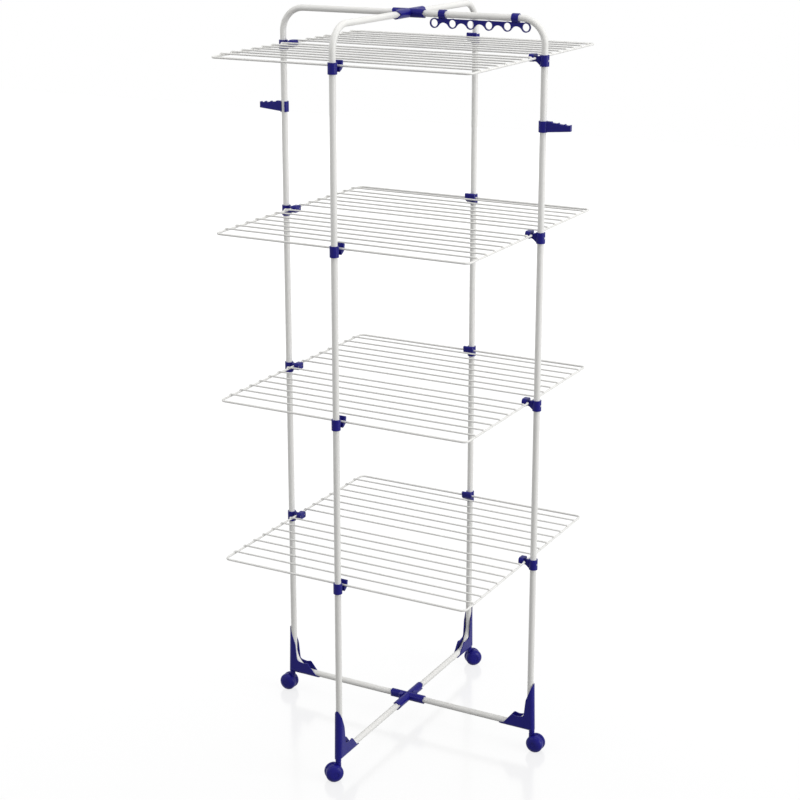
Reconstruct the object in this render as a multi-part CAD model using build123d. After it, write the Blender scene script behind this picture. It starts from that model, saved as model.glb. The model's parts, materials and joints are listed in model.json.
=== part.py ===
from build123d import *
import os
from math import cos, radians, sin

os.makedirs("parts", exist_ok=True)

# Clothes drying rack: a tower of four bent tubes on castors, with four tiers of folding wire shelves.
# Millimetres, +Z up, origin on the floor at the centre of the tower.
# The wires run along X. The left and right posts form the fixed frame.
# The front (-Y) and rear (+Y) posts are gates that fold against it.

# Tubes
tube_radius = 7.5
tube_wall = 1.0
side_post_x = 338.0
gate_post_y = 345.0
base_axis_z = 62.0
top_axis_z = base_axis_z + 1710.0
bend_radius = 57.0

# Tiers
tier_count = 4
first_tier_z = base_axis_z + 433.0
tier_pitch = 397.4
tiers = [first_tier_z + tier_pitch * i for i in range(tier_count)]

# Shelf wires
frame_wire_radius = 2.5
cross_wire_radius = 2.0
cross_wire_count = 7
shelf_half_length = 320.0
shelf_pivot_y = 9.0
inner_wire_y = 35.0
outer_wire_y = 331.5
shelf_corner_radius = 12.0
pivot_bend_radius = 3.5
pivot_pin_tip_x = 307.0
weld_sink = 0.2

# Plastic sleeves and fits
sleeve_radius = 10.5
running_fit = 0.08
seat_fit = 0.02
free_gap = 0.4

# Central joints
top_hub_half_length = 40.0
bottom_hub_half_length = 46.0
hub_tube_end = 30.0
knuckle_length = 64.0
gate_tube_end = 37.0
hinge_offset = 13.5
hinge_pin_radius = 2.0
hinge_barrel_radius = 5.5
hinge_pocket_radius = 6.1
knuckle_half_height = 3.4
ear_start_z = 3.6
hinge_web_near = 9.5
hinge_web_far = 18.5
pin_head_radius = 3.4
pin_head_height = 1.2
hinge_bore_cover = 1.6
knuckle_notch_depth = 9.0
hub_notch_depth = 3.0
notch_half_height = 6.5

# Collars, brackets and catches
collar_height = 25.0
collar_drop = 5.0
bracket_block_inner_x = 304.5
bracket_block_outer_x = 316.0
bracket_block_half_width = 12.8
bracket_block_low = -7.5
bracket_block_high = 9.0
bracket_block_edge = 2.5
bracket_block_crown = 6.0
bracket_web_half_width = 5.2
catch_half_width = 13.0
catch_root_half_width = 5.0
catch_slot_depth = 1.5

# Feet
foot_half_width = 10.0
foot_top_z = 180.0
foot_leg = 80.0
foot_flare = 3.5
foot_heel_radius = 9.0
foot_screw_inset = 50.0
stem_offset = 6.0
stem_boss_radius = 7.0
stem_boss_low_z = 48.5
stem_boss_top_z = 76.0
stem_bore_top_z = 67.0

# Castors
wheel_radius = 21.5
castor_trail = 11.0
castor_plate_half = 4.0
castor_plate_radius = 20.3
castor_neck_low_z = 30.0
castor_boss_radius = 6.5
castor_top_z = 47.5
wheel_inner_face = 4.4
wheel_tread_end = 8.6
wheel_dome_mid = (17.5, 15.1)
wheel_hub_face = (7.3, 18.9)
wheel_clearance = 0.6
stem_radius = 3.0
stem_foot_z = 33.0
stem_top_z = 66.0
stem_flange_radius = 5.5
stem_flange = (47.6, 48.3)
axle_radius = 2.5

# Hanger rail and hanger arms
ring_count = 6
first_ring_x = 65.2
ring_pitch = 45.3
ring_drop = 20.0
ring_outer_radius = 11.3
ring_hole_radius = 8.65
rail_half_thickness = 2.2
rail_top_drop = 9.6
rail_bottom_drop = 25.0
scallop_radius = 14.5
scallop_drop = 33.0
clip_centres = (86.0, 267.0)
clip_half_length = 8.0
clip_radius = 10.2
clip_mouth_half_width = 5.0
hanger_arm_z = base_axis_z + 1475.0
hanger_arm_reach = 405.0
hanger_arm_half_width = 4.5

# Screws
screw_head_radius = 2.7
screw_head_sunk = 0.2
screw_head_seat = 1.8
screw_shank_radius = 1.4
screw_length = 7.0
screw_hole_fit = 0.04

half_turn = Rot(0, 0, 180)
quarter_turn = Rot(0, 0, -90)


# Round bar between two points
def rod(start, end, radius):
    run = Vector(*end) - Vector(*start)
    return extrude(Plane(start, z_dir=run) * Circle(radius), run.length)


# Wire or solid tube bent at the inner points of its route
def bent_rod(points, bends, radius):
    route = FilletPolyline(*points, radius=bends)
    return sweep(Plane(route @ 0, z_dir=route % 0) * Circle(radius), path=route)


# Plate with an outline in X and Z, as thick to both sides of Y
def plate(points, bends, half_width):
    outline = Plane.XZ * make_face(FilletPolyline(*points, radius=bends, close=True).edges())
    return extrude(outline, half_width, both=True)


# Box from its lowest to its highest corner
def block(low, high):
    size = [b - a for a, b in zip(low, high)]
    middle = [(a + b) / 2 for a, b in zip(low, high)]
    return Pos(*middle) * Box(*size)


def group(solids):
    return Compound(children=list(solids))


# Screw whose head is sunk in the face at a point; grow makes it the hole for itself
def screw(face_point, outward, grow=0.0):
    face = Vector(*face_point)
    out = Vector(*outward)
    head_top = face + out * (sleeve_radius if grow else -screw_head_sunk)
    seat = face - out * screw_head_seat
    tip = face - out * (screw_length + grow)
    head = rod(seat, head_top, screw_head_radius + grow)
    return head + rod(tip, seat, screw_shank_radius + grow)


# Fish-tail notch for the end of a sleeve that lies along X and ends at end_x
def fishtail(end_x, axis_z, depth):
    inward = -1.0 if end_x > 0 else 1.0
    mouth_x = end_x - inward * 0.5
    tip_x = end_x + inward * depth
    notch = Polyline(
        (mouth_x, axis_z - notch_half_height),
        (tip_x, axis_z),
        (mouth_x, axis_z + notch_half_height),
        close=True,
    )
    return extrude(Plane.XZ * make_face(notch.edges()), 2 * sleeve_radius, both=True)


# C-shaped rod along one post: a top run, the post and a bottom run
def post_rod(post_x, inner_end, radius):
    route = [
        (inner_end, 0, top_axis_z),
        (post_x, 0, top_axis_z),
        (post_x, 0, base_axis_z),
        (inner_end, 0, base_axis_z),
    ]
    return bent_rod(route, [bend_radius, bend_radius], radius)


# Hollow tube of one post, with its screw holes
def post_tube(post_x, inner_end, holes):
    tube = post_rod(post_x, inner_end, tube_radius) - post_rod(post_x, inner_end, tube_radius - tube_wall)
    for hole in holes:
        tube -= hole
    return tube


# Fixed joint of the side tubes, with ears for both gate hinges
def hub(axis_z, half_length):
    body = rod((-half_length, 0, axis_z), (half_length, 0, axis_z), sleeve_radius)
    for side in (1, -1):
        ear_shapes = []
        for low, high in ((ear_start_z, sleeve_radius), (-sleeve_radius, -ear_start_z)):
            barrel_low = (-hinge_offset, -hinge_offset, axis_z + low)
            barrel_high = (-hinge_offset, -hinge_offset, axis_z + high)
            web = block(
                (-hinge_web_far, -hinge_offset, axis_z + low),
                (-hinge_web_near, -hinge_offset / 3, axis_z + high),
            )
            ear_shapes += [rod(barrel_low, barrel_high, hinge_barrel_radius), web]
        pocket = rod(
            (-hinge_offset, -hinge_offset, axis_z - ear_start_z),
            (-hinge_offset, -hinge_offset, axis_z + ear_start_z),
            hinge_pocket_radius,
        )
        turn = Rot(0, 0, 0) if side > 0 else half_turn
        for ear in ear_shapes:
            body += turn * ear
        body -= turn * pocket
        body -= turn * hinge_bore(axis_z, hinge_pin_radius + seat_fit)
        socket_start = (side * hub_tube_end, 0, axis_z)
        socket_end = (side * (half_length + 1), 0, axis_z)
        body -= rod(socket_start, socket_end, tube_radius + seat_fit)
        body -= fishtail(side * half_length, axis_z, hub_notch_depth)
        body -= screw(hub_screw_face(side, axis_z), (0, 0, -1), screw_hole_fit)
    return body


def hub_screw_face(side, axis_z):
    return (side * (hub_tube_end + 3.5), 0, axis_z - sleeve_radius)


# Bore on the front gate's hinge line, closed at the top
def hinge_bore(axis_z, radius):
    low = (-hinge_offset, -hinge_offset, axis_z - sleeve_radius - seat_fit)
    high = (-hinge_offset, -hinge_offset, axis_z + sleeve_radius - hinge_bore_cover)
    return rod(low, high, radius)


# Hinge pin, pushed in from below, with a head under the lower ear
def hinge_pin(axis_z):
    head_top = (-hinge_offset, -hinge_offset, axis_z - sleeve_radius - seat_fit)
    head_low = (-hinge_offset, -hinge_offset, head_top[2] - pin_head_height)
    pin_top = (-hinge_offset, -hinge_offset, axis_z + sleeve_radius - hinge_bore_cover - seat_fit)
    pin = rod(head_top, pin_top, hinge_pin_radius)
    return pin + rod(head_low, head_top, pin_head_radius)


# Turning end of the front gate: a sleeve coped round the hub, with a barrel between the hub's ears
def gate_knuckle(axis_z):
    arm = rod((knuckle_length, 0, axis_z), (0, 0, axis_z), sleeve_radius)
    arm -= rod((gate_tube_end, 0, axis_z), (knuckle_length + 1, 0, axis_z), tube_radius + seat_fit)
    arm -= fishtail(knuckle_length, axis_z, knuckle_notch_depth)
    arm = quarter_turn * arm
    cope_end = 2 * sleeve_radius
    arm -= rod((-cope_end, 0, axis_z), (cope_end, 0, axis_z), sleeve_radius + free_gap)
    for low, high in ((knuckle_half_height + 0.1, cope_end), (-cope_end, -knuckle_half_height - 0.1)):
        arm -= rod(
            (-hinge_offset, -hinge_offset, axis_z + low),
            (-hinge_offset, -hinge_offset, axis_z + high),
            hinge_pocket_radius,
        )
    barrel = rod(
        (-hinge_offset, -hinge_offset, axis_z - knuckle_half_height),
        (-hinge_offset, -hinge_offset, axis_z + knuckle_half_height),
        hinge_barrel_radius,
    )
    web = block(
        (-hinge_offset, -hinge_offset - hinge_barrel_radius, axis_z - knuckle_half_height),
        (-hinge_offset / 3, -sleeve_radius - 2 * free_gap, axis_z + knuckle_half_height),
    )
    arm += barrel
    arm += web
    arm -= hinge_bore(axis_z, hinge_pin_radius + running_fit)
    arm -= screw(knuckle_screw_face(axis_z), (0, 0, -1), screw_hole_fit)
    return arm


def knuckle_screw_face(axis_z):
    return (0, -gate_tube_end - 5, axis_z - sleeve_radius)


# Sleeve round a post at one tier, at the post's own centre
def collar(tier_z):
    low = tier_z - collar_drop - collar_height / 2
    high = low + collar_height
    ring = rod((0, 0, low), (0, 0, high), sleeve_radius)
    return ring - rod((0, 0, low), (0, 0, high), tube_radius + seat_fit)


# Right post's bracket: a collar, a pointed arm and the block that both wings' pins turn in
def bracket(tier_z):
    part = Pos(side_post_x, 0, 0) * collar(tier_z)
    collar_face = side_post_x - sleeve_radius + 1
    arm_outline = [
        (collar_face, tier_z + 6.0),
        (bracket_block_outer_x - 1, tier_z + 1.5),
        (bracket_block_outer_x - 1, tier_z - 6.5),
        (bracket_block_outer_x + 5, tier_z - 8.5),
        (collar_face, tier_z - 15.0),
    ]
    arm = plate(arm_outline, 0, bracket_web_half_width)
    arm -= rod((side_post_x, 0, tier_z - 30), (side_post_x, 0, tier_z + 30), tube_radius + 1)
    holder = block(
        (bracket_block_inner_x, -bracket_block_half_width, tier_z + bracket_block_low),
        (bracket_block_outer_x, bracket_block_half_width, tier_z + bracket_block_high),
    )
    long_edges = holder.edges().filter_by(Axis.X).sort_by(Axis.Z)
    holder = fillet(long_edges[:2], bracket_block_edge)
    holder = fillet(holder.edges().filter_by(Axis.X).sort_by(Axis.Z)[-2:], bracket_block_crown)
    part += arm
    part += holder
    for side in (1, -1):
        bore_start = (bracket_block_inner_x - 1, side * shelf_pivot_y, tier_z)
        bore_end = (bracket_block_outer_x + 1, side * shelf_pivot_y, tier_z)
        part -= rod(bore_start, bore_end, frame_wire_radius + running_fit)
    return part - screw(bracket_screw_face(tier_z), (1, 0, 0), screw_hole_fit)


def bracket_screw_face(tier_z):
    return (side_post_x + sleeve_radius, 0, tier_z - collar_drop)


# Front post's collar, slotted for its catch
def gate_collar(tier_z):
    part = Pos(0, -gate_post_y, 0) * collar(tier_z)
    face_y = -gate_post_y + sleeve_radius
    slot = block(
        (-catch_root_half_width, face_y - catch_slot_depth, tier_z - 13),
        (catch_root_half_width, face_y + 1, tier_z - 3),
    )
    part -= slot
    return part - screw(collar_screw_face(tier_z), (-1, 0, 0), screw_hole_fit)


def collar_screw_face(tier_z):
    return (-sleeve_radius, -gate_post_y, tier_z - collar_drop)


# Springy hook of the front post that cradles a wing's outer wire, outlined along the way inward
def catch(tier_z):
    root = sleeve_radius - catch_slot_depth + seat_fit
    wire = gate_post_y - outer_wire_y
    floor = wire + frame_wire_radius + 0.7
    low_z = tier_z - 12.9
    step_z = tier_z - 3.8
    cradle_z = tier_z - frame_wire_radius - 0.5
    outline = [
        (root, low_z),
        (root, step_z),
        (wire - 1.5, cradle_z),
        (floor, cradle_z),
        (floor + 0.3, tier_z + 4.5),
        (floor + 2.4, tier_z + 12.0),
        (floor + 7.4, tier_z + 9.6),
        (floor + 5.6, tier_z - 3.5),
        (floor + 0.5, tier_z - 8.5),
    ]
    bends = [0, 0, 0, 0.6, 2.0, 1.0, 1.5, 3.0, 3.0]
    hook = plate(outline, bends, catch_half_width)
    hook -= rod((0, 0, tier_z - 30), (0, 0, tier_z + 30), sleeve_radius + seat_fit)
    root_end = sleeve_radius + 1
    root_outline = [(root, low_z), (root, step_z), (root_end, step_z), (root_end, low_z)]
    hook += plate(root_outline, 0, catch_root_half_width - seat_fit)
    return Pos(0, -gate_post_y, 0) * Rot(0, 0, 90) * hook


# Front wing of a tier: a bent frame wire whose ends are the pivots, and wires welded across it
def shelf_wing(tier_z):
    pivot_y = -shelf_pivot_y
    edge_y = -outer_wire_y
    route = [
        (pivot_pin_tip_x, pivot_y, tier_z),
        (shelf_half_length, pivot_y, tier_z),
        (shelf_half_length, edge_y, tier_z),
        (-shelf_half_length, edge_y, tier_z),
        (-shelf_half_length, pivot_y, tier_z),
        (-pivot_pin_tip_x, pivot_y, tier_z),
    ]
    bends = [pivot_bend_radius, shelf_corner_radius, shelf_corner_radius, pivot_bend_radius]
    wires = [bent_rod(route, bends, frame_wire_radius)]
    pitch = (outer_wire_y - inner_wire_y) / cross_wire_count
    wire_z = tier_z + frame_wire_radius + cross_wire_radius - weld_sink
    for i in range(cross_wire_count):
        wire_y = -inner_wire_y - pitch * i
        end_x = shelf_half_length + frame_wire_radius / 2
        wires.append(rod((-end_x, wire_y, wire_z), (end_x, wire_y, wire_z), cross_wire_radius))
    return group(wires)


# Foot of a post that stands at post_x: a round-backed channel outside the bottom bend
def foot(post_x):
    low_z = base_axis_z - foot_half_width
    back_x = post_x + foot_half_width
    outer_x = back_x + foot_flare + 1
    leg_x = post_x - foot_leg
    outline = [
        (back_x, foot_top_z),
        (post_x - 8.0, base_axis_z + 72.0),
        (post_x - 13.0, base_axis_z + 26.0),
        (post_x - 32.0, base_axis_z + 23.0),
        (post_x - 45.0, base_axis_z + 26.0),
        (leg_x + 12.0, base_axis_z - 2.5),
        (leg_x, base_axis_z - 5.5),
        (leg_x + 10.0, low_z),
        (outer_x, low_z),
        (outer_x, foot_top_z),
    ]
    bends = [0, 30.0, 8.0, 8.0, 6.0, 3.0, 0, 0, foot_heel_radius, 0]
    body = plate(outline, bends, foot_half_width)
    flare_x = post_x + foot_flare
    flare_outline = [(leg_x, low_z), (flare_x, low_z), (post_x, foot_top_z), (leg_x, foot_top_z)]
    around_post = plate(flare_outline, 0, foot_half_width)
    around_post += rod((flare_x, 0, low_z - 1), (post_x, 0, foot_top_z), foot_half_width)
    around_run = rod((leg_x, 0, base_axis_z), (outer_x, 0, base_axis_z), foot_half_width)
    around_run += block((leg_x, -foot_half_width, base_axis_z), (outer_x, foot_half_width, foot_top_z))
    body &= around_run
    body &= around_post
    stem_x = post_x + stem_offset
    body += rod((stem_x, 0, stem_boss_low_z), (stem_x, 0, stem_boss_top_z), stem_boss_radius)
    run_end_x = post_x - 2 * bend_radius
    route = [(post_x, 0, foot_top_z + bend_radius), (post_x, 0, base_axis_z), (run_end_x, 0, base_axis_z)]
    body -= bent_rod(route, [bend_radius], tube_radius + seat_fit)
    inside = [(r, z) for r, _, z in route] + [(run_end_x, route[0][2])]
    body -= plate(inside, [0, bend_radius, 0, 0], tube_radius + seat_fit)
    body -= rod((stem_x, 0, stem_boss_low_z - 1), (stem_x, 0, stem_bore_top_z), stem_radius + running_fit)
    return body - screw(foot_screw_face(post_x), (0, 0, -1), screw_hole_fit)


def foot_screw_face(post_x):
    return (post_x - foot_screw_inset, 0, base_axis_z - foot_half_width)


# Castor pieces round the swivel line at the origin, trailing along +X
def castor_wheel_centre():
    return Pos(castor_trail, 0, wheel_radius)


def castor_stem():
    stem = rod((0, 0, stem_foot_z), (0, 0, stem_top_z), stem_radius)
    return stem + rod((0, 0, stem_flange[0]), (0, 0, stem_flange[1]), stem_flange_radius)


def castor_housing():
    half = castor_plate_half
    disc = castor_wheel_centre() * rod((0, -half, 0), (0, half, 0), castor_plate_radius)
    neck_low = (-castor_boss_radius + 0.5, -half, castor_neck_low_z)
    neck_high = (castor_trail, half, castor_top_z - 2)
    neck = block(neck_low, neck_high)
    boss = rod((0, 0, castor_neck_low_z), (0, 0, castor_top_z), castor_boss_radius)
    wheel_space = rod((0, -50, 0), (0, 50, 0), wheel_radius + wheel_clearance)
    boss -= castor_wheel_centre() * wheel_space
    body = disc + neck + boss
    body -= rod((0, 0, stem_foot_z), (0, 0, castor_top_z + 1), stem_radius + seat_fit)
    return body - castor_wheel_centre() * rod((0, -50, 0), (0, 50, 0), axle_radius + running_fit)


def castor_axle():
    end = wheel_hub_face[1] - 1.0
    return castor_wheel_centre() * rod((0, -end, 0), (0, end, 0), axle_radius)


def castor_wheels():
    bore = axle_radius + seat_fit
    hub_radius, hub_face = wheel_hub_face
    outline = [
        Polyline((hub_radius, hub_face), (bore, hub_face), (bore, wheel_inner_face)),
        Polyline((bore, wheel_inner_face), (wheel_radius, wheel_inner_face), (wheel_radius, wheel_tread_end)),
        ThreePointArc((wheel_radius, wheel_tread_end), wheel_dome_mid, (hub_radius, hub_face)),
    ]
    edges = [edge for line in outline for edge in line.edges()]
    wheel = revolve(make_face(edges), Axis.Y)
    return group([castor_wheel_centre() * wheel, castor_wheel_centre() * half_turn * wheel])


# Rail of hanger rings that hangs under the right half of the top tube
def hanger_rail():
    ring_xs = [first_ring_x + ring_pitch * i for i in range(ring_count)]
    ring_z = top_axis_z - ring_drop
    half = rail_half_thickness
    rail = block(
        (ring_xs[0], -half, top_axis_z - rail_bottom_drop),
        (ring_xs[-1], half, top_axis_z - rail_top_drop),
    )
    for left_x, right_x in zip(ring_xs, ring_xs[1:]):
        middle_x = (left_x + right_x) / 2
        scallop_z = top_axis_z - scallop_drop
        rail -= rod((middle_x, -half, scallop_z), (middle_x, half, scallop_z), scallop_radius)
    for ring_x in ring_xs:
        rail += rod((ring_x, -half, ring_z), (ring_x, half, ring_z), ring_outer_radius)
    for clip_x in clip_centres:
        start_x = clip_x - clip_half_length
        end_x = clip_x + clip_half_length
        rail += rod((start_x, 0, top_axis_z), (end_x, 0, top_axis_z), clip_radius)
        rail -= rod((start_x - 1, 0, top_axis_z), (end_x + 1, 0, top_axis_z), tube_radius + seat_fit)
        rail -= block(
            (start_x - 1, 0, top_axis_z - clip_mouth_half_width),
            (end_x + 1, clip_radius + 1, top_axis_z + clip_mouth_half_width),
        )
    rail -= post_rod(side_post_x, hub_tube_end, tube_radius + seat_fit)
    for ring_x in ring_xs:
        rail -= rod((ring_x, -half - 1, ring_z), (ring_x, half + 1, ring_z), ring_hole_radius)
    return rail


# Right post's hanger arm: a clip that turns on the post, and a tapered arm with stops along its top
def hanger_arm():
    z = hanger_arm_z
    sleeve_half = collar_height / 2
    outline = [
        (side_post_x, z + sleeve_half),
        (side_post_x + 21, z + sleeve_half),
        (side_post_x + 22, z + 10.0),
        (side_post_x + 35, z + 9.0),
        (side_post_x + 37, z + 11.0),
        (side_post_x + 39, z + 8.2),
        (side_post_x + 51, z + 7.4),
        (side_post_x + 53, z + 9.4),
        (side_post_x + 55, z + 6.8),
        (hanger_arm_reach - 3, z + 6.2),
        (hanger_arm_reach - 1.5, z + 8.0),
        (hanger_arm_reach, z + 7.4),
        (hanger_arm_reach, z - 6.5),
        (side_post_x, z - sleeve_half),
    ]
    arm = plate(outline, 0, hanger_arm_half_width)
    sleeve_low = (side_post_x, 0, z - sleeve_half)
    sleeve_high = (side_post_x, 0, z + sleeve_half)
    arm += rod(sleeve_low, sleeve_high, sleeve_radius)
    bore_low = (side_post_x, 0, z - collar_height)
    bore_high = (side_post_x, 0, z + collar_height)
    arm -= rod(bore_low, bore_high, tube_radius + running_fit)
    mouth_low = (side_post_x - clip_mouth_half_width, 0, z - collar_height)
    mouth_high = (side_post_x + clip_mouth_half_width, sleeve_radius + 1, z + collar_height)
    return arm - block(mouth_low, mouth_high)


# Screws of the right post and foot, and of the front gate
def side_screws(grow=0.0):
    solids = [screw(bracket_screw_face(z), (1, 0, 0), grow) for z in tiers]
    low_faces = [hub_screw_face(1, z) for z in (base_axis_z, top_axis_z)] + [foot_screw_face(side_post_x)]
    solids += [screw(face, (0, 0, -1), grow) for face in low_faces]
    return solids


def gate_screws(grow=0.0):
    solids = [screw(collar_screw_face(z), (-1, 0, 0), grow) for z in tiers]
    solids.append(quarter_turn * screw(foot_screw_face(gate_post_y), (0, 0, -1), grow))
    solids += [screw(knuckle_screw_face(z), (0, 0, -1), grow) for z in (base_axis_z, top_axis_z)]
    return solids


# Assembly: right-hand and front pieces are made once, and a half turn gives the left and rear ones
nodes = {}
sides = {"right": Rot(0, 0, 0), "left": half_turn}
gates = {"front": Rot(0, 0, 0), "rear": half_turn}

right_tube = post_tube(side_post_x, hub_tube_end + 1, side_screws(screw_hole_fit))
right_foot = foot(side_post_x)
right_arm = hanger_arm()
right_brackets = [bracket(z) for z in tiers]
for side, turn in sides.items():
    nodes[f"{side}_post_tube"] = turn * right_tube
    nodes[f"{side}_foot"] = turn * right_foot
    nodes[f"{side}_hanger_arm"] = turn * right_arm
    for number, piece in enumerate(right_brackets, start=1):
        nodes[f"{side}_bracket_{number}"] = turn * piece

gate_holes = [quarter_turn.inverse() * hole for hole in gate_screws(screw_hole_fit)]
front_tube = quarter_turn * post_tube(gate_post_y, gate_tube_end + 1, gate_holes)
front_foot = quarter_turn * foot(gate_post_y)
front_wings = [shelf_wing(z) for z in tiers]
for gate, turn in gates.items():
    nodes[f"{gate}_gate_tube"] = turn * front_tube
    nodes[f"{gate}_foot"] = turn * front_foot
    nodes[f"{gate}_bottom_knuckle"] = turn * gate_knuckle(base_axis_z)
    nodes[f"{gate}_top_knuckle"] = turn * gate_knuckle(top_axis_z)
    nodes[f"{gate}_collars"] = group(turn * gate_collar(z) for z in tiers)
    nodes[f"{gate}_catches"] = group(turn * catch(z) for z in tiers)
    nodes[f"{gate}_screws"] = group(turn * solid for solid in gate_screws())
    for number, piece in enumerate(front_wings, start=1):
        nodes[f"{gate}_wing_{number}"] = turn * piece

nodes["bottom_hub"] = hub(base_axis_z, bottom_hub_half_length)
nodes["top_hub"] = hub(top_axis_z, top_hub_half_length)
front_pins = [hinge_pin(z) for z in (base_axis_z, top_axis_z)]
nodes["gate_hinge_pins"] = group(turn * pin for turn in gates.values() for pin in front_pins)
nodes["frame_screws"] = group(turn * solid for turn in sides.values() for solid in side_screws())
nodes["hanger_rail"] = hanger_rail()

# Castors: the place of each swivel line as a radius and direction, and the direction it trails
side_stem = side_post_x + stem_offset
gate_stem = gate_post_y + stem_offset
castors = {
    "right": (side_stem, 0, 0),
    "left": (side_stem, 180, 180),
    "front": (gate_stem, -90, -135),
    "rear": (gate_stem, 90, 45),
}
castor_pieces = {
    "stem": castor_stem(),
    "housing": castor_housing(),
    "axle": castor_axle(),
    "wheels": castor_wheels(),
}
for corner, (radius, bearing, trail_bearing) in castors.items():
    stem_x = radius * cos(radians(bearing))
    stem_y = radius * sin(radians(bearing))
    for piece, shape in castor_pieces.items():
        nodes[f"{corner}_castor_{piece}"] = Pos(stem_x, stem_y, 0) * Rot(0, 0, trail_bearing) * shape

for name, shape in nodes.items():
    export_step(shape, f"parts/{name}.step")
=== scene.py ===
import json
import math

import bmesh
import bpy
import numpy as np
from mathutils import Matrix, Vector


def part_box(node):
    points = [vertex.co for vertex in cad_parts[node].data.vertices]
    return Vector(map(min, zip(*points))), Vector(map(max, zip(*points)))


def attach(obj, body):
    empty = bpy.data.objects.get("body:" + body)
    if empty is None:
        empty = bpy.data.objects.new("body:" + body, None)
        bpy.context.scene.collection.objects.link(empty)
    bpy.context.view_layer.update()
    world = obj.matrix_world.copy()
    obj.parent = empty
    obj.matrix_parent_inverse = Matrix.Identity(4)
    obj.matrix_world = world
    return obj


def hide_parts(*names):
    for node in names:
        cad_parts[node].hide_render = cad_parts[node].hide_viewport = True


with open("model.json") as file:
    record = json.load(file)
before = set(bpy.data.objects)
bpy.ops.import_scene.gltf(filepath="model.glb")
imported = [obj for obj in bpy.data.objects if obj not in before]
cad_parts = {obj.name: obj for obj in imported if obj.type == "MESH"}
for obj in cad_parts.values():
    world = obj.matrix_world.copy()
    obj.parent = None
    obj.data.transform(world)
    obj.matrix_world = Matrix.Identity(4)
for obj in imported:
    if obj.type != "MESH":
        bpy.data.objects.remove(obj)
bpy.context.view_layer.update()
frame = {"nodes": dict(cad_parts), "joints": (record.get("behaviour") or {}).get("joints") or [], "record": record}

# lengths are in metres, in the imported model's own frame
nodes = frame["nodes"]
joints = {j["name"]: j for j in frame["joints"]}
nodeBody = {n: body for body, names in frame["record"]["behaviour"]["bodies"].items() for n in names}
nodeSlot = {s["node"]: s["material_slot"] for s in frame["record"]["subparts"]}
sides = ("left", "right")
gates = ("front", "rear")
corners = sides + gates
tierNumbers = (1, 2, 3, 4)
print("frame loaded:", len(nodes), "nodes")

# camera: fitted to the picture's 800 x 800 frame
cameraSet = {
    "picture": 800.0,  # pixels, as are the next two
    "focal": 1760.8,
    "centreDrop": 40.0,
    "sensor": 36.0,  # millimetres
    "farthest": 60.0,
    "place": (1.9137, -3.5806, 2.1289),
    "yaw": 2.06672,  # radians from +X towards +Y
    "pitch": 0.28246,  # radians below level
}


# the look direction comes from yaw and pitch, the lens from the focal length in pixels
def makeCamera(c):
    data = bpy.data.cameras.new("photoCamera")
    data.sensor_width = c["sensor"]
    data.lens = c["sensor"] * c["focal"] / c["picture"]
    data.shift_y = -c["centreDrop"] / c["picture"]
    data.clip_end = c["farthest"]
    look = Vector((
        math.cos(c["pitch"]) * math.cos(c["yaw"]),
        math.cos(c["pitch"]) * math.sin(c["yaw"]),
        -math.sin(c["pitch"]),
    ))
    camera = bpy.data.objects.new("photoCamera", data)
    camera.location = c["place"]
    camera.rotation_mode = "QUATERNION"
    camera.rotation_quaternion = look.to_track_quat("-Z", "Y")
    bpy.context.scene.collection.objects.link(camera)
    bpy.context.scene.camera = camera


makeCamera(cameraSet)
bpy.context.scene.view_settings.view_transform = "Standard"
print("camera set")


# shader groups and materials

# an empty group with number inputs, given with their usual values, and number outputs
def makeGroup(name, inputs, outputs):
    group = bpy.data.node_groups.new(name, "ShaderNodeTree")
    for label, value in inputs.items():
        socket = group.interface.new_socket(label, in_out="INPUT", socket_type="NodeSocketFloat")
        socket.default_value = value
    for label in outputs:
        group.interface.new_socket(label, in_out="OUTPUT", socket_type="NodeSocketFloat")
    return group, group.nodes.new("NodeGroupInput"), group.nodes.new("NodeGroupOutput")


# one operation on two values, each a number or another node's output
def mathNode(tree, operation, a, b):
    node = tree.nodes.new("ShaderNodeMath")
    node.operation = operation
    for socket, value in zip(node.inputs, (a, b)):
        if isinstance(value, (int, float)):
            socket.default_value = value
        else:
            tree.links.new(value, socket)
    return node.outputs[0]


# skin: fine bumps (Height), slow blotches (Mottle, 0 to 1) and the roughness that goes with them
skinSet = {
    "inputs": {"Grain Scale": 900.0, "Mottle Scale": 18.0, "Roughness": 0.4, "Spread": 0.08},
    "outputs": ("Height", "Mottle", "Roughness"),
    "detail": {"Grain": 2.0, "Mottle": 3.0},
    "mottleMiddle": 0.5,
}


# roughness out = roughness in + spread x (mottle - its middle)
def makeSkinGroup(s):
    group, given, out = makeGroup("finishSkin", s["inputs"], s["outputs"])
    links = group.links
    place = group.nodes.new("ShaderNodeTexCoord")
    noise = {}
    for kind, detail in s["detail"].items():
        texture = group.nodes.new("ShaderNodeTexNoise")
        texture.inputs["Detail"].default_value = detail
        links.new(place.outputs["Object"], texture.inputs["Vector"])
        links.new(given.outputs[f"{kind} Scale"], texture.inputs["Scale"])
        noise[kind] = texture.outputs["Fac"]
    links.new(noise["Grain"], out.inputs["Height"])
    links.new(noise["Mottle"], out.inputs["Mottle"])
    swing = mathNode(group, "SUBTRACT", noise["Mottle"], s["mottleMiddle"])
    swing = mathNode(group, "MULTIPLY", swing, given.outputs["Spread"])
    swing = mathNode(group, "ADD", swing, given.outputs["Roughness"])
    links.new(swing, out.inputs["Roughness"])
    return group


skinGroup = makeSkinGroup(skinSet)


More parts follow.
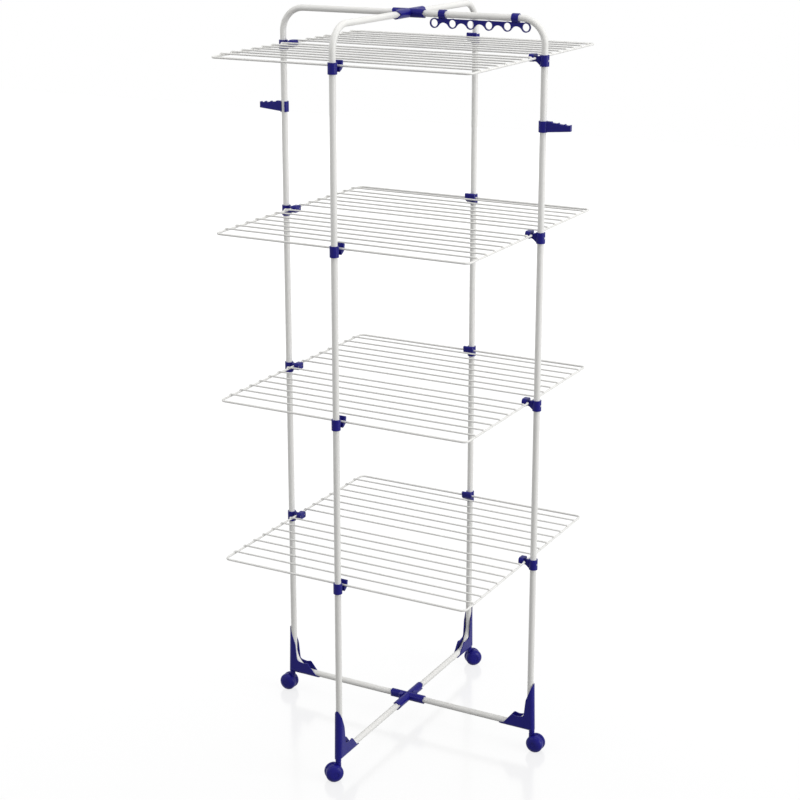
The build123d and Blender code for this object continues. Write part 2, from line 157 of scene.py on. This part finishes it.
# finish: two near colours mixed by the blotches, bump from the grain, roughness from the skin
def makeFinish(name, f):
    material = bpy.data.materials.new(name)
    material.use_nodes = True
    tree = material.node_tree
    shader = tree.nodes["Principled BSDF"]
    skin = tree.nodes.new("ShaderNodeGroup")
    skin.node_tree = skinGroup
    for label in skinSet["inputs"]:
        skin.inputs[label].default_value = f[label]
    mix = tree.nodes.new("ShaderNodeMix")
    mix.data_type = "RGBA"
    mix.inputs["A"].default_value = (*f["colour"], 1.0)
    mix.inputs["B"].default_value = (*f["deeper"], 1.0)
    tree.links.new(skin.outputs["Mottle"], mix.inputs["Factor"])
    tree.links.new(mix.outputs["Result"], shader.inputs["Base Color"])
    tree.links.new(skin.outputs["Roughness"], shader.inputs["Roughness"])
    bump = tree.nodes.new("ShaderNodeBump")
    bump.inputs["Strength"].default_value = f["bump"]
    bump.inputs["Distance"].default_value = f["depth"]
    tree.links.new(skin.outputs["Height"], bump.inputs["Height"])
    tree.links.new(bump.outputs["Normal"], shader.inputs["Normal"])
    shader.inputs["Metallic"].default_value = f["metallic"]
    shader.inputs["Specular IOR Level"].default_value = f["specular"]
    return material


finishes = {
    "white_powder_coat": makeFinish("powderCoat", {
        "colour": (0.80, 0.795, 0.775), "deeper": (0.765, 0.76, 0.735), "metallic": 0.0, "specular": 0.4,
        "Grain Scale": 620.0, "Mottle Scale": 9.0, "Roughness": 0.40, "Spread": 0.08,
        "bump": 0.05, "depth": 0.0002,
    }),
    "blue_plastic": makeFinish("mouldedBlue", {
        "colour": (0.012, 0.010, 0.205), "deeper": (0.009, 0.008, 0.165), "metallic": 0.0, "specular": 0.15,
        "Grain Scale": 1500.0, "Mottle Scale": 25.0, "Roughness": 0.32, "Spread": 0.12,
        "bump": 0.14, "depth": 0.0001,
    }),
    "zinc_steel": makeFinish("zincSteel", {
        "colour": (0.60, 0.60, 0.61), "deeper": (0.50, 0.50, 0.52), "metallic": 1.0, "specular": 0.5,
        "Grain Scale": 2500.0, "Mottle Scale": 120.0, "Roughness": 0.32, "Spread": 0.15,
        "bump": 0.10, "depth": 0.00005,
    }),
}
print("finishes made:", len(finishes))

# surfaces from arrays
surfaceSet = {
    "weld": 1e-6,
    "sharp": 42.0,  # degrees
    "domeSteps": 4,
    "domeHeight": 0.5,  # of the bar's radius
    "upright": 0.9,  # share of Z in an axis, past which its spokes are set out from +X
}


# quads of a grid of rows x columns, joined round its columns
def ringFaces(rows, columns):
    i, j = np.meshgrid(np.arange(rows - 1), np.arange(columns), indexing="ij")
    k = (j + 1) % columns
    row = i * columns
    nextRow = row + columns
    return np.stack([row + j, row + k, nextRow + k, nextRow + j], axis=-1).reshape(-1, 4)


# one mesh from several shells of (points, quads); rings shrunk to a point are welded
def makePiece(name, shells, node):
    starts = np.cumsum([0] + [len(p) for p, _ in shells])
    points = np.concatenate([p for p, _ in shells])
    quads = np.concatenate([q + start for (_, q), start in zip(shells, starts)])
    mesh = bpy.data.meshes.new(name)
    mesh.from_pydata(points.tolist(), [], quads.tolist())
    piece = bpy.data.objects.new(name, mesh)
    bpy.context.scene.collection.objects.link(piece)
    closePoles(mesh, surfaceSet["weld"])
    mesh.shade_smooth()
    mesh.set_sharp_from_angle(angle=math.radians(surfaceSet["sharp"]))
    settle(piece, node)


# a piece takes its node's finish, moves with its node's body and stands for it
def settle(piece, node):
    piece.data.materials.clear()
    piece.data.materials.append(finishes[nodeSlot[node]])
    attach(piece, nodeBody[node])
    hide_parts(node)


# points nearer than the weld become one, and faces left with no area go
def closePoles(mesh, weld):
    shape = bmesh.new()
    shape.from_mesh(mesh)
    bmesh.ops.remove_doubles(shape, verts=shape.verts, dist=weld)
    bmesh.ops.dissolve_degenerate(shape, dist=weld, edges=shape.edges)
    shape.to_mesh(mesh)
    shape.free()


# route: straight runs with an arc of its own radius at each inner corner, as points and directions;
# an arc begins radius x tan(turn / 2) before its corner
def roundedRoute(places, radii, steps):
    places = np.array(places, float)
    runs = np.diff(places, axis=0)
    runs /= np.linalg.norm(runs, axis=1)[:, None]
    points = [places[0]]
    directions = [runs[0]]
    for here, into, away, radius in zip(places[1:], runs, runs[1:], radii):
        turn = math.acos(np.clip(into @ away, -1, 1))
        reach = radius * math.tan(turn / 2)
        side = away - into * (into @ away)
        side /= np.linalg.norm(side)
        angle = np.linspace(0, turn, steps)[:, None]
        points += list(here - into * reach + radius * (into * np.sin(angle) + side * (1 - np.cos(angle))))
        directions += list(into * np.cos(angle) + side * np.sin(angle))
    points.append(places[-1])
    directions.append(runs[-1])
    return np.array(points), np.array(directions)


# round bar: a circle carried along a flat route, with a low dome at each end
def roundBar(route, flat, radius, columns):
    points, directions = route
    flat = np.array(flat, float)
    steps = surfaceSet["domeSteps"]
    rise = np.linspace(0, math.pi / 2, steps + 1)[1:]
    dome = np.cos(rise)
    tip = np.sin(rise) * radius * surfaceSet["domeHeight"]
    centres = np.concatenate([
        points[0] - np.outer(tip[::-1], directions[0]),
        points,
        points[-1] + np.outer(tip, directions[-1]),
    ])
    along = np.concatenate([
        np.repeat(directions[:1], steps, axis=0),
        directions,
        np.repeat(directions[-1:], steps, axis=0),
    ])
    size = radius * np.concatenate([dome[::-1], np.ones(len(points)), dome])
    across = np.cross(flat, along)
    angle = np.linspace(0, 2 * math.pi, columns, endpoint=False)[:, None]
    ring = np.cos(angle) * across[:, None, :] + np.sin(angle) * flat
    grid = centres[:, None, :] + size[:, None, None] * ring
    return grid.reshape(-1, 3), ringFaces(len(centres), columns)


# turned shape: a profile of (radius, height) pairs spun about an axis through a centre
def turned(profile, centre, axis, columns):
    profile = np.array(profile, float)
    axis = np.array(axis, float) / np.linalg.norm(axis)
    helper = (0.0, 0.0, 1.0) if abs(axis[2]) < surfaceSet["upright"] else (1.0, 0.0, 0.0)
    u = np.cross(helper, axis)
    u /= np.linalg.norm(u)
    v = np.cross(axis, u)
    angle = np.linspace(0, 2 * math.pi, columns, endpoint=False)[:, None]
    ring = np.cos(angle) * u + np.sin(angle) * v
    grid = np.array(centre, float) + profile[:, :1, None] * ring + profile[:, 1:, None] * axis
    return grid.reshape(-1, 3), ringFaces(len(profile), columns)


# rounded stretch of a profile: an ellipse quarter from one (radius, height) pair to another
def quarterRound(start, end, steps, radiusFirst):
    t = np.linspace(0, math.pi / 2, steps)
    share = np.stack([np.sin(t), 1 - np.cos(t)], axis=1)
    if not radiusFirst:
        share = share[:, ::-1]
    return np.array(start) + np.subtract(end, start) * share


# post tubes: one C-shaped tube each, read from the box of its node
tubeSet = {"radius": 0.0075, "bend": 0.057, "columns": 40, "bendSteps": 22}


# a level arm at the top and at the base, and the post that joins them, along X (0) or Y (1)
def makeTube(node, axisIndex):
    low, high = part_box(node)
    r = tubeSet["radius"]
    outward = 1 if low[axisIndex] + high[axisIndex] > 0 else -1
    post = high[axisIndex] - r if outward > 0 else low[axisIndex] + r
    end = low[axisIndex] if outward > 0 else high[axisIndex]
    top = high.z - r
    base = low.z + r
    stops = [(end, top), (post, top), (post, base), (end, base)]
    places = [(a, 0, z) if axisIndex == 0 else (0, a, z) for a, z in stops]
    flat = (0, 1, 0) if axisIndex == 0 else (1, 0, 0)
    route = roundedRoute(places, [tubeSet["bend"]] * 2, tubeSet["bendSteps"])
    makePiece(f"{node}_coated", [roundBar(route, flat, r, tubeSet["columns"])], node)


for side in sides:
    makeTube(f"{side}_post_tube", 0)
for gate in gates:
    makeTube(f"{gate}_gate_tube", 1)
print("tubes made")

# wings: a bent frame wire, straight wires welded across it, and a bead at each weld
wingSet = {
    "frameRadius": 0.0025,
    "crossRadius": 0.002,
    "crossCount": 7,
    "innerWire": 0.035,
    "weldSink": 0.0002,
    "cornerRadius": 0.012,
    "pivotBend": 0.0035,
    "pinLength": 0.013,
    "bendSteps": 10,
    "columns": 14,
    "beadSize": (0.0036, 0.0036, 0.0028),
    "beadRows": 7,
    "beadColumns": 12,
}


# bead: a ball stretched along each axis
def beadShell(centre):
    rise = np.linspace(-math.pi / 2, math.pi / 2, wingSet["beadRows"])
    profile = np.stack([np.cos(rise), np.sin(rise)], axis=1)
    points, quads = turned(profile, (0, 0, 0), (0, 0, 1), wingSet["beadColumns"])
    return points * np.array(wingSet["beadSize"]) + np.array(centre), quads


# the frame wire runs from one bent-in pivot end round the outer edge to the other, and the cross wires
# lie on it at even steps, their tips half its radius past its centre line
def makeWing(gate, number):
    w = wingSet
    node = f"{gate}_wing_{number}"
    low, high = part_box(node)
    toward = -1 if gate == "front" else 1
    tier = low.z + w["frameRadius"]
    endX = high.x - w["frameRadius"]
    edgeY = low.y + w["frameRadius"] if gate == "front" else high.y - w["frameRadius"]
    pivotY = joints[f"{node}_fold"]["pos_m"][1]
    tipX = endX - w["pinLength"]
    half = [(tipX, pivotY), (endX, pivotY), (endX, edgeY)]
    places = half + [(-x, y) for x, y in reversed(half)]
    radii = [w["pivotBend"], w["cornerRadius"], w["cornerRadius"], w["pivotBend"]]
    route = roundedRoute([(x, y, tier) for x, y in places], radii, w["bendSteps"])
    shells = [roundBar(route, (0, 0, 1), w["frameRadius"], w["columns"])]
    crossZ = tier + w["frameRadius"] + w["crossRadius"] - w["weldSink"]
    crossEnd = endX + w["frameRadius"] / 2 - w["crossRadius"] * surfaceSet["domeHeight"]
    wireYs = toward * np.linspace(w["innerWire"], abs(edgeY), w["crossCount"] + 1)[:-1]
    for y in wireYs:
        wire = roundedRoute([(-crossEnd, y, crossZ), (crossEnd, y, crossZ)], [], w["bendSteps"])
        shells.append(roundBar(wire, (0, 0, 1), w["crossRadius"], w["columns"]))
        for x in (-endX, endX):
            shells.append(beadShell((x, y, tier + w["frameRadius"])))
    makePiece(f"{node}_wires", shells, node)


for gate in gates:
    for number in tierNumbers:
        makeWing(gate, number)
print("wings made")

# castor wheels: two domed halves with a tread, turned about the axle
wheelSet = {
    "innerFace": 0.0045,
    "rim": 0.0008,
    "rimInset": 0.00192,
    "rimSteps": 5,
    "treadEnd": 0.0084,
    "domeSteps": 18,
    "capRadius": 0.0076,
    "capFace": 0.0189,
    "capLip": 0.0004,
    "capDip": 0.0009,
    "capMiddle": (0.00304, 0.00072),  # radius, and depth below the cap's face
    "capCentreDip": 0.00063,
    "columns": 72,
}


# the profile goes out along the inner face, round the rim, over the tread and dome, and in across the cap
def makeWheels(corner):
    w = wheelSet
    joint = joints[f"{corner}_wheels_roll"]
    low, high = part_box(f"{corner}_castor_wheels")
    radius = (high.z - low.z) / 2
    face = w["innerFace"]
    middle, middleDip = w["capMiddle"]
    profile = np.concatenate([
        [(0.0, face), (radius - w["rimInset"], face)],
        quarterRound((radius - w["rim"], face), (radius, face + w["rim"]), w["rimSteps"], True),
        quarterRound((radius, w["treadEnd"]), (w["capRadius"], w["capFace"]), w["domeSteps"], False),
        [(w["capRadius"] - w["capLip"], w["capFace"])],
        [(w["capRadius"] - w["rim"], w["capFace"] - w["capDip"])],
        [(middle, w["capFace"] - middleDip), (0.0, w["capFace"] - w["capCentreDip"])],
    ])
    axis = np.array(joint["axis"])
    shells = [turned(profile, joint["pos_m"], axis * s, w["columns"]) for s in (1, -1)]
    makePiece(f"{corner}_castor_wheels_domed", shells, f"{corner}_castor_wheels")


for corner in corners:
    makeWheels(corner)
print("wheels made")

# moulded and small steel pieces: a merged copy of each remaining node, its hard edges eased
easeSet = {
    "weld": 2e-6,
    "flat": 0.3,  # degrees, below which two faces become one
    "edge": 0.0005,
    "segments": 2,
    "hard": 30.0,  # degrees, above which an edge is eased
}


# the copy's loose triangles are merged, its flat faces joined, and a narrow bevel rounds its hard edges
def makeEased(node):
    piece = bpy.data.objects.new(f"{node}_eased", nodes[node].data.copy())
    bpy.context.scene.collection.objects.link(piece)
    mesh = piece.data
    normals = mesh.attributes.get("custom_normal")  # set for the loose triangles alone
    if normals:
        mesh.attributes.remove(normals)
    flat = math.radians(easeSet["flat"])
    shape = bmesh.new()
    shape.from_mesh(mesh)
    bmesh.ops.remove_doubles(shape, verts=shape.verts, dist=easeSet["weld"])
    bmesh.ops.dissolve_limit(shape, angle_limit=flat, verts=shape.verts, edges=shape.edges)
    shape.to_mesh(mesh)
    shape.free()
    mesh.shade_smooth()
    bevel = piece.modifiers.new("ease", "BEVEL")
    bevel.width = easeSet["edge"]
    bevel.segments = easeSet["segments"]
    bevel.limit_method = "ANGLE"
    bevel.angle_limit = math.radians(easeSet["hard"])
    bevel.harden_normals = True
    settle(piece, node)


for node, shown in nodes.items():
    if not shown.hide_render:
        makeEased(node)
print("moulded pieces eased")

# floor and light
stageSet = {
    "floorHalf": 9.0,
    "floorGlow": 0.80,
    "floorColour": (0.12, 0.12, 0.12, 1.0),
    "floorRoughness": 0.16,
    "floorSpecular": 0.45,
    "white": (1.0, 1.0, 1.0, 1.0),
    "ambient": 0.57,
    "lampAim": (0.0, 0.0, 0.9),
    "lamps": {
        "leftBox": {"power": 24.0, "place": (-2.6, -2.6, 2.5), "width": 2.4},
        "rightBox": {"power": 270.0, "place": (6.5, 0.4, 2.2), "width": 4.0},
        "topBox": {"power": 58.0, "place": (0.3, -0.5, 5.2), "width": 3.0},
    },
}


# 1 where the backdrop is seen straight, in a reflection or through glass, and 0 where it only gives light
def seenRays(tree):
    path = tree.nodes.new("ShaderNodeLightPath")
    seen = path.outputs["Is Camera Ray"]
    for kind in ("Is Glossy Ray", "Is Transmission Ray"):
        seen = mathNode(tree, "MAXIMUM", seen, path.outputs[kind])
    return seen


# a dark, half glossy square that glows where it is seen, so it is pale and keeps the shadow
def makeFloor(s):
    mesh = bpy.data.meshes.new("floor")
    h = s["floorHalf"]
    mesh.from_pydata([(-h, -h, 0), (h, -h, 0), (h, h, 0), (-h, h, 0)], [], [(0, 1, 2, 3)])
    floor = bpy.data.objects.new("floor", mesh)
    bpy.context.scene.collection.objects.link(floor)
    material = bpy.data.materials.new("paleFloor")
    material.use_nodes = True
    tree = material.node_tree
    shader = tree.nodes["Principled BSDF"]
    shader.inputs["Base Color"].default_value = s["floorColour"]
    shader.inputs["Roughness"].default_value = s["floorRoughness"]
    shader.inputs["Specular IOR Level"].default_value = s["floorSpecular"]
    shader.inputs["Emission Color"].default_value = s["white"]
    glow = mathNode(tree, "MULTIPLY", seenRays(tree), s["floorGlow"])
    tree.links.new(glow, shader.inputs["Emission Strength"])
    mesh.materials.append(material)


# white where it is seen, and the ambient strength where it only gives light
def makeWorld(s):
    world = bpy.data.worlds.new("studio")
    world.use_nodes = True
    tree = world.node_tree
    back = tree.nodes["Background"]
    back.inputs["Color"].default_value = s["white"]
    lift = mathNode(tree, "MULTIPLY", seenRays(tree), 1.0 - s["ambient"])
    strength = mathNode(tree, "ADD", lift, s["ambient"])
    tree.links.new(strength, back.inputs["Strength"])
    bpy.context.scene.world = world


# a square lamp that faces the aim
def makeLamp(name, lamp, aim):
    data = bpy.data.lights.new(name, "AREA")
    data.energy = lamp["power"]
    data.size = lamp["width"]
    box = bpy.data.objects.new(name, data)
    box.location = lamp["place"]
    box.rotation_mode = "QUATERNION"
    box.rotation_quaternion = (Vector(aim) - Vector(lamp["place"])).to_track_quat("-Z", "Y")
    bpy.context.scene.collection.objects.link(box)


makeFloor(stageSet)
makeWorld(stageSet)
for lampName, lamp in stageSet["lamps"].items():
    makeLamp(lampName, lamp, stageSet["lampAim"])
print("stage lit")
